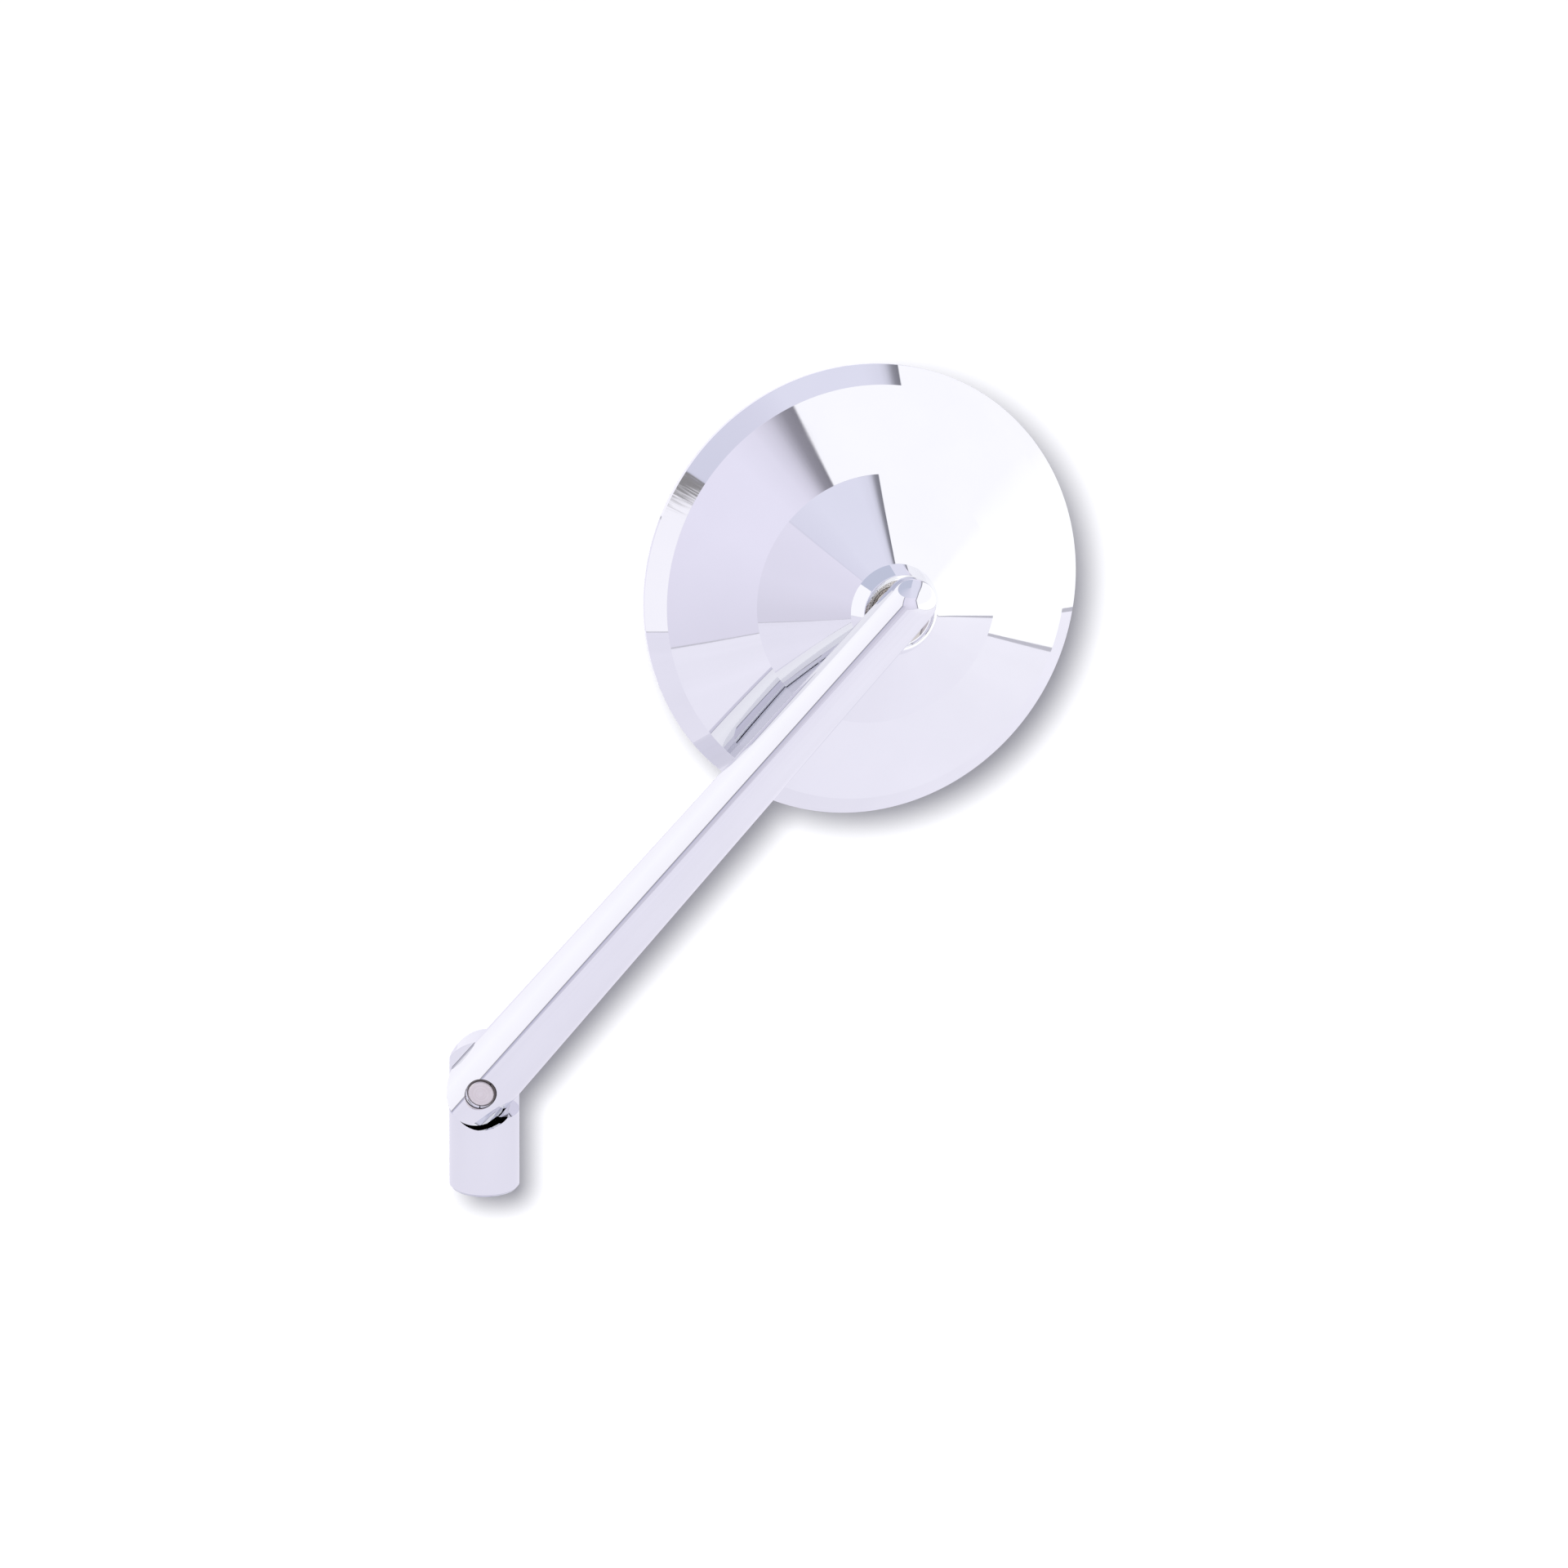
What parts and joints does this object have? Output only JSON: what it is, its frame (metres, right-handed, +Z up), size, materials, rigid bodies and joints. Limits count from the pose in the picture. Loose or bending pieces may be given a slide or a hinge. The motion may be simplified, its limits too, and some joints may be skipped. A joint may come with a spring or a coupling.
{
  "type": "motorcycle mirror",
  "caption": "Round chromed motorcycle mirror: stepped-cone head tipping on a ball joint, tapering arm, half-lap knuckle and a round foot with a tapped hole.",
  "frame": {"origin": "centre of the tapped hole's mouth in the foot's underside", "axes": "+Z up along the foot's axis; the arm swings about Y and leans to +X; the glass faces +Y, turned towards -X"},
  "size_m": [0.138, 0.0689, 0.1884],
  "materials": {
    "chrome_foot": "mirror-bright chrome plate",
    "chrome_arm": "mirror-bright chrome plate",
    "chrome_head": "mirror-bright chrome plate",
    "washer": "moulded",
    "screw_steel": "satin turned",
    "spring_steel": "hardened",
    "stud_steel": "polished",
    "seat": "moulded",
    "cup_alloy": "turned",
    "tape": "foam tape",
    "mirror": "silvered glass"
  },
  "bodies": {
    "foot": {"mount_foot": "chrome_foot", "lap_washer": "washer"},
    "arm": {"arm_stem": "chrome_arm", "pivot_screw": "screw_steel", "disc_spring": "spring_steel", "ball_stud": "stud_steel"},
    "lower_ball_seat": {"lower_seat": "seat"},
    "upper_ball_seat": {"upper_seat": "seat"},
    "head": {"mirror_housing": "chrome_head", "pressure_cup": "cup_alloy", "cup_spring": "spring_steel", "socket_plug": "cup_alloy", "glass_tape": "tape", "mirror_glass": "mirror"}
  },
  "joints": [
    {"name": "arm_pivot", "type": "hinge", "parent": "foot", "child": "arm", "pos_m": [0, 0, 0.0253], "axis": [0, 1, 0], "range_deg": [-108, 31]},
    {"name": "head_pan", "type": "hinge", "parent": "arm", "child": "lower_ball_seat", "pos_m": [0.09116, 0.01805, 0.13909], "axis": [0, 0, 1], "range_deg": [-54.5, 1.5]},
    {"name": "head_tilt", "type": "hinge", "parent": "lower_ball_seat", "child": "upper_ball_seat", "pos_m": [0.09116, 0.01805, 0.13909], "axis": [-0.8949, -0.4462, 0], "range_deg": [-20, 4]},
    {"name": "head_spin", "type": "hinge", "parent": "upper_ball_seat", "child": "head", "pos_m": [0.09116, 0.01805, 0.13909], "axis": [0.4419, -0.8862, 0.1392], "continuous": true}
  ]
}
